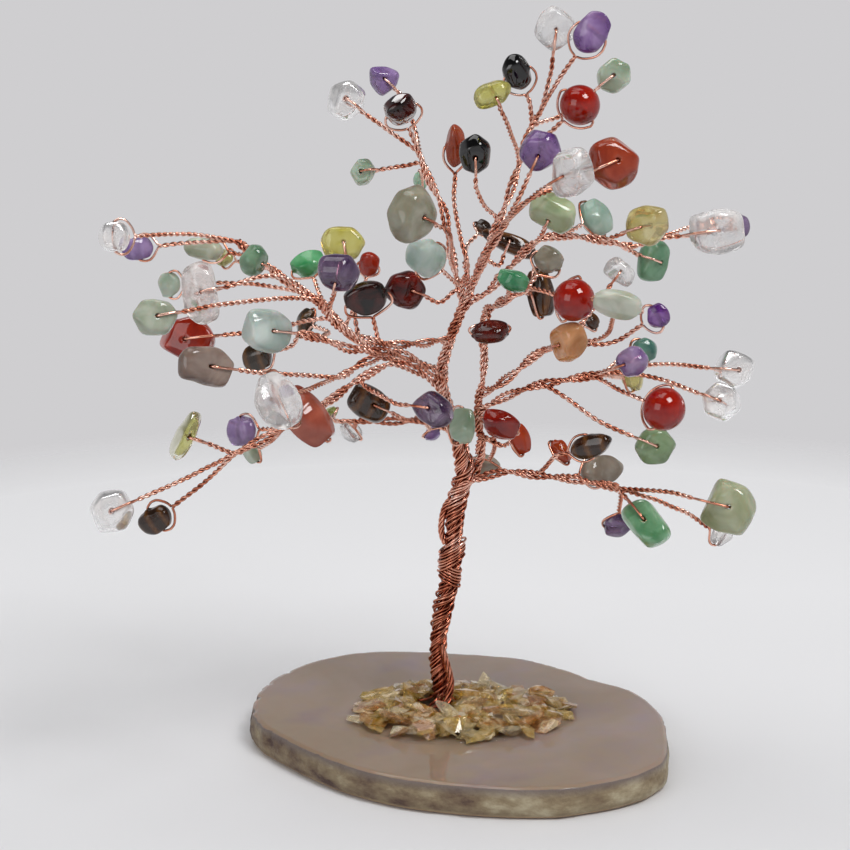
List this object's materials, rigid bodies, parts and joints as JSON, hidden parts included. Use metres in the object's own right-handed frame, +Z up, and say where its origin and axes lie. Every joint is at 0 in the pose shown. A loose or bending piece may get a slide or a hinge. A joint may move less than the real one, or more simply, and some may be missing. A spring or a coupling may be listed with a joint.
{
  "type": "gemstone tree ornament",
  "caption": "Copper wire tree with a drilled, polished stone in a loop at the end of each twig, glued into a bed of citrine chips on an agate slice.",
  "frame": {"origin": "middle of the agate slice's flat underside, which stands on the table", "axes": "+Z up, -Y towards the viewer of the picture, +X to that viewer's right"},
  "size_m": [0.1019, 0.066, 0.1157],
  "materials": {
    "copper_wire": "bright drawn copper",
    "agate_slice": "sawn and polished",
    "clear_glue": "clear, set",
    "citrine": "crushed and tumbled",
    "clear_quartz": "tumbled and polished, clear",
    "amethyst": "tumbled and polished",
    "peridot": "tumbled and polished",
    "pale_jade": "tumbled and polished",
    "green_aventurine": "tumbled and polished",
    "amazonite": "tumbled and polished",
    "grey_agate": "tumbled and polished",
    "carnelian": "tumbled and polished",
    "garnet": "tumbled and polished",
    "tiger_eye": "tumbled and polished",
    "black_onyx": "tumbled and polished"
  },
  "bodies": {
    "tree": {"agate_chips": "grey_agate", "agate_slab": "agate_slice", "amazonite_chips": "amazonite", "amethyst_chips": "amethyst", "aventurine_chips": "green_aventurine", "branch_crown": "copper_wire", "branch_crown_left": "copper_wire", "branch_crown_right": "copper_wire", "branch_fan": "copper_wire", "branch_fan_upper": "copper_wire", "branch_left_front": "copper_wire", "branch_left_high": "copper_wire", "branch_left_low": "copper_wire", "branch_left_mid": "copper_wire", "branch_low_centre": "copper_wire", "branch_low_right": "copper_wire", "branch_right_high": "copper_wire", "branch_right_low": "copper_wire", "branch_right_mid": "copper_wire", "branch_upper_left": "copper_wire", "carnelian_chips": "carnelian", "citrine_chips": "citrine", "garnet_chips": "garnet", "glue_bed": "clear_glue", "jade_chips": "pale_jade", "main_stem": "copper_wire", "onyx_chips": "black_onyx", "peridot_chips": "peridot", "quartz_chips": "clear_quartz", "right_stem": "copper_wire", "root_wires": "copper_wire", "tiger_eye_chips": "tiger_eye", "trunk_core": "copper_wire", "trunk_eyelet": "copper_wire", "trunk_strands": "copper_wire", "trunk_wrap": "copper_wire"},
    "quartz_bead_1": {"quartz_bead_1": "clear_quartz"},
    "carnelian_bead_9": {"carnelian_bead_9": "carnelian"},
    "peridot_bead_16": {"peridot_bead_16": "peridot"},
    "quartz_bead_19": {"quartz_bead_19": "clear_quartz"},
    "tiger_eye_bead_20": {"tiger_eye_bead_20": "tiger_eye"},
    "quartz_bead_35": {"quartz_bead_35": "clear_quartz"},
    "garnet_bead_37": {"garnet_bead_37": "garnet"},
    "jade_bead_38": {"jade_bead_38": "pale_jade"},
    "onyx_bead_42": {"onyx_bead_42": "black_onyx"},
    "peridot_bead_43": {"peridot_bead_43": "peridot"},
    "quartz_bead_44": {"quartz_bead_44": "clear_quartz"},
    "amethyst_bead_45": {"amethyst_bead_45": "amethyst"},
    "jade_bead_46": {"jade_bead_46": "pale_jade"},
    "carnelian_bead_47": {"carnelian_bead_47": "carnelian"},
    "peridot_bead_53": {"peridot_bead_53": "peridot"},
    "quartz_bead_54": {"quartz_bead_54": "clear_quartz"},
    "carnelian_bead_61": {"carnelian_bead_61": "carnelian"},
    "amethyst_bead_65": {"amethyst_bead_65": "amethyst"},
    "quartz_bead_72": {"quartz_bead_72": "clear_quartz"},
    "carnelian_bead_73": {"carnelian_bead_73": "carnelian"},
    "aventurine_bead_74": {"aventurine_bead_74": "green_aventurine"},
    "aventurine_bead_81": {"aventurine_bead_81": "green_aventurine"},
    "jade_bead_82": {"jade_bead_82": "pale_jade"}
  },
  "joints": [
    {"name": "quartz_bead_1_swivel", "type": "hinge", "parent": "tree", "child": "quartz_bead_1", "pos_m": [-0.05327, 0.00769, 0.08015], "axis": [0.0667, -0.2414, -0.9681], "range_deg": [-30, 30]},
    {"name": "carnelian_bead_9_swivel", "type": "hinge", "parent": "tree", "child": "carnelian_bead_9", "pos_m": [-0.04102, -0.00508, 0.06687], "axis": [0.1946, 0.9564, -0.2177], "range_deg": [-20, 20]},
    {"name": "peridot_bead_16_swivel", "type": "hinge", "parent": "tree", "child": "peridot_bead_16", "pos_m": [-0.04135, -0.00827, 0.05271], "axis": [-0.3367, 0.9352, -0.1098], "range_deg": [-15, 15]},
    {"name": "quartz_bead_19_swivel", "type": "hinge", "parent": "tree", "child": "quartz_bead_19", "pos_m": [-0.05258, -0.00986, 0.0415], "axis": [-0.1112, 0.9511, -0.2881], "range_deg": [-30, 30]},
    {"name": "tiger_eye_bead_20_swivel", "type": "hinge", "parent": "tree", "child": "tiger_eye_bead_20", "pos_m": [-0.04709, -0.00188, 0.03776], "axis": [0.5959, -0.1943, -0.7792], "range_deg": [-20, 20]},
    {"name": "quartz_bead_35_swivel", "type": "hinge", "parent": "tree", "child": "quartz_bead_35", "pos_m": [-0.01778, 0.01567, 0.10022], "axis": [-0.0274, 0.9745, -0.2228], "range_deg": [-25, 25]},
    {"name": "garnet_bead_37_swivel", "type": "hinge", "parent": "tree", "child": "garnet_bead_37", "pos_m": [-0.00925, 0.01168, 0.09913], "axis": [-0.9131, -0.0986, -0.3956], "range_deg": [-30, 30]},
    {"name": "jade_bead_38_swivel", "type": "hinge", "parent": "tree", "child": "jade_bead_38", "pos_m": [-0.01525, 0.01647, 0.08893], "axis": [0.1984, 0.9565, -0.2138], "range_deg": [-30, 30]},
    {"name": "onyx_bead_42_swivel", "type": "hinge", "parent": "tree", "child": "onyx_bead_42", "pos_m": [0.00818, 0.0045, 0.10563], "axis": [-0.9125, -0.099, -0.397], "range_deg": [-25, 25]},
    {"name": "peridot_bead_43_swivel", "type": "hinge", "parent": "tree", "child": "peridot_bead_43", "pos_m": [0.00439, -0.00348, 0.10336], "axis": [-0.3082, 0.8709, 0.3828], "range_deg": [-15, 15]},
    {"name": "quartz_bead_44_swivel", "type": "hinge", "parent": "tree", "child": "quartz_bead_44", "pos_m": [0.01415, 0.00849, 0.11167], "axis": [0.0257, 0.9997, -0.0027], "range_deg": [-20, 20]},
    {"name": "amethyst_bead_45_swivel", "type": "hinge", "parent": "tree", "child": "amethyst_bead_45", "pos_m": [0.01923, 0.00131, 0.11196], "axis": [-0.8087, 0.1423, 0.5707], "range_deg": [-25, 25]},
    {"name": "jade_bead_46_swivel", "type": "hinge", "parent": "tree", "child": "jade_bead_46", "pos_m": [0.02335, 0.0128, 0.1042], "axis": [0.1177, 0.9808, -0.1555], "range_deg": [-30, 30]},
    {"name": "carnelian_bead_47_swivel", "type": "hinge", "parent": "tree", "child": "carnelian_bead_47", "pos_m": [0.01764, 0.00386, 0.10078], "axis": [-0.6514, 0.1836, 0.7362], "continuous": true},
    {"name": "peridot_bead_53_swivel", "type": "hinge", "parent": "tree", "child": "peridot_bead_53", "pos_m": [0.02734, -0.00571, 0.08404], "axis": [0.6614, 0.7496, -0.0243], "range_deg": [-20, 20]},
    {"name": "quartz_bead_54_swivel", "type": "hinge", "parent": "tree", "child": "quartz_bead_54", "pos_m": [0.03865, 0.0045, 0.08145], "axis": [-0.1326, 0.9575, -0.256], "range_deg": [-20, 20]},
    {"name": "carnelian_bead_61_swivel", "type": "hinge", "parent": "tree", "child": "carnelian_bead_61", "pos_m": [0.01567, -0.02024, 0.07576], "axis": [0.3414, 0.2274, 0.912], "continuous": true},
    {"name": "amethyst_bead_65_swivel", "type": "hinge", "parent": "tree", "child": "amethyst_bead_65", "pos_m": [0.02856, -0.01146, 0.07166], "axis": [-0.4953, 0.2102, 0.8429], "range_deg": [-25, 25]},
    {"name": "quartz_bead_72_swivel", "type": "hinge", "parent": "tree", "child": "quartz_bead_72", "pos_m": [0.04146, 0.00003, 0.06097], "axis": [-0.2504, 0.9436, -0.2166], "range_deg": [-20, 20]},
    {"name": "carnelian_bead_73_swivel", "type": "hinge", "parent": "tree", "child": "carnelian_bead_73", "pos_m": [0.02942, -0.01497, 0.0585], "axis": [0.4237, 0.2191, 0.8789], "continuous": true},
    {"name": "aventurine_bead_74_swivel", "type": "hinge", "parent": "tree", "child": "aventurine_bead_74", "pos_m": [0.02905, -0.00667, 0.05075], "axis": [-0.0904, 0.975, -0.2028], "range_deg": [-25, 25]},
    {"name": "aventurine_bead_81_swivel", "type": "hinge", "parent": "tree", "child": "aventurine_bead_81", "pos_m": [0.02787, -0.00763, 0.03897], "axis": [0.3404, 0.6887, -0.6402], "range_deg": [-20, 20]},
    {"name": "jade_bead_82_swivel", "type": "hinge", "parent": "tree", "child": "jade_bead_82", "pos_m": [0.04044, -0.00699, 0.0413], "axis": [0.1598, 0.9476, -0.2766], "range_deg": [-20, 20]}
  ]
}
